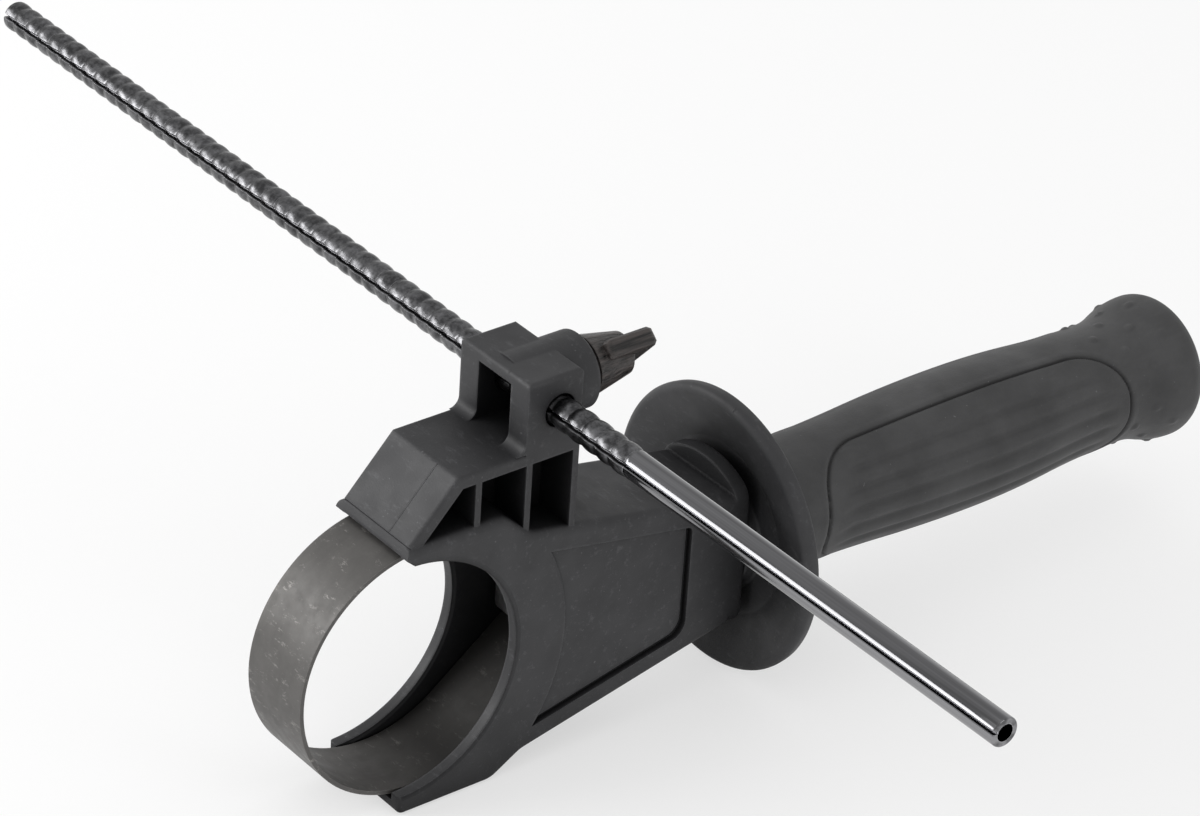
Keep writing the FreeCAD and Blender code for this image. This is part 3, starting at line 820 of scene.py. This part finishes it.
def pale_floor(looks):
    """A plain pale floor, a little uneven in its gloss, that reads as a white ground with a faint shadow."""
    s = Shader("pale_floor")
    base = looks.floor_colour
    s.feed("Base Color", s.mix(s.noise(3.0), shade(base, 0.995), shade(base, 1.0)))
    s.feed("Roughness", s.spread(s.noise(8.0), 0.3, 0.7, 0.88, 0.95))
    s.feed("Specular IOR Level", 0.15)
    s.relief(s.noise(60.0), 0.02 * MM)
    path = s.add("ShaderNodeLightPath").outputs
    seen = s.maths("MAXIMUM", path["Is Camera Ray"], path["Is Glossy Ray"])
    seen = s.maths("MAXIMUM", seen, path["Is Transmission Ray"])
    white = s.add("ShaderNodeEmission", {"Color": (1.0, 1.0, 1.0, 1.0), "Strength": 1.0}).outputs["Emission"]
    share = s.maths("MULTIPLY", seen, FLOOR_WHITE)
    both = s.add("ShaderNodeMixShader", {0: share, 1: s.surface.outputs["BSDF"], 2: white}).outputs["Shader"]
    s.tree.links.new(both, s.tree.nodes["Material Output"].inputs["Surface"])
    return s.material


class HANDLE_OT_stage(bpy.types.Operator):
    """Set the floor, the lamps and the camera"""

    bl_idname = "handle.stage"
    bl_label = "Floor, lamps and camera"

    def execute(self, context):
        scene = context.scene
        low, high = CAD_BOX
        middle = (low + high) / 2
        mesh = bpy.data.meshes.new("floor")
        made = bmesh.new()
        bmesh.ops.create_grid(made, x_segments=8, y_segments=8, size=FLOOR_HALF)
        bmesh.ops.translate(made, verts=made.verts, vec=(middle.x, middle.y, low.z - FLOOR_GAP))
        made.to_mesh(mesh)
        made.free()
        floor = bpy.data.objects.new("floor", mesh)
        scene.collection.objects.link(floor)
        mesh.materials.append(pale_floor(scene.handle_looks))

        for name, (x, y, z), aim, (width, height), radiance in LAMPS:
            lamp(name, (middle.x + x, middle.y + y, z), aim, width, height, radiance)

        world = bpy.data.worlds.new("studio")
        world.use_nodes = True
        background = world.node_tree.nodes["Background"]
        background.inputs["Color"].default_value = (1.0, 1.0, 1.0, 1.0)
        background.inputs["Strength"].default_value = WORLD_STRENGTH
        scene.world = world

        data = bpy.data.cameras.new("photo_camera")
        data.sensor_width = SENSOR_WIDTH
        data.lens = CAMERA_LENS
        camera = bpy.data.objects.new("photo_camera", data)
        camera.location = CAMERA_PLACE
        camera.rotation_mode = "QUATERNION"
        roll = Quaternion((0, 0, 1), CAMERA_ROLL)
        camera.rotation_quaternion = CAMERA_AIM.to_track_quat("-Z", "Y") @ roll
        scene.collection.objects.link(camera)
        scene.camera = camera
        scene.view_settings.view_transform = "Standard"
        return {"FINISHED"}


class HANDLE_PT_panel(bpy.types.Panel):
    """Lists the handle's sizes, colours and steps"""

    bl_idname = "HANDLE_PT_panel"
    bl_label = "Side Handle"
    bl_space_type = "VIEW_3D"
    bl_region_type = "UI"
    bl_category = "Side Handle"

    def draw(self, context):
        for group in (context.scene.handle_sizes, context.scene.handle_looks):
            box = self.layout.box()
            for name in group.__annotations__:
                box.prop(group, name)
        for step in STEPS:
            self.layout.operator(step.bl_idname)


STEPS = (HANDLE_OT_mouldings, HANDLE_OT_clamp, HANDLE_OT_sleeve, HANDLE_OT_rod, HANDLE_OT_thumb_screw,
         HANDLE_OT_stage)
CLASSES = (HandleSizes, HandleLooks) + STEPS + (HANDLE_PT_panel,)


def register():
    for item in CLASSES:
        bpy.utils.register_class(item)
    bpy.types.Scene.handle_sizes = PointerProperty(type=HandleSizes)
    bpy.types.Scene.handle_looks = PointerProperty(type=HandleLooks)


def unregister():
    del bpy.types.Scene.handle_looks
    del bpy.types.Scene.handle_sizes
    for item in reversed(CLASSES):
        bpy.utils.unregister_class(item)


def main():
    register()
    for step in STEPS:
        family, name = step.bl_idname.split(".")
        getattr(getattr(bpy.ops, family), name)()
    bpy.context.view_layer.update()


if __name__ == "__main__":
    main()
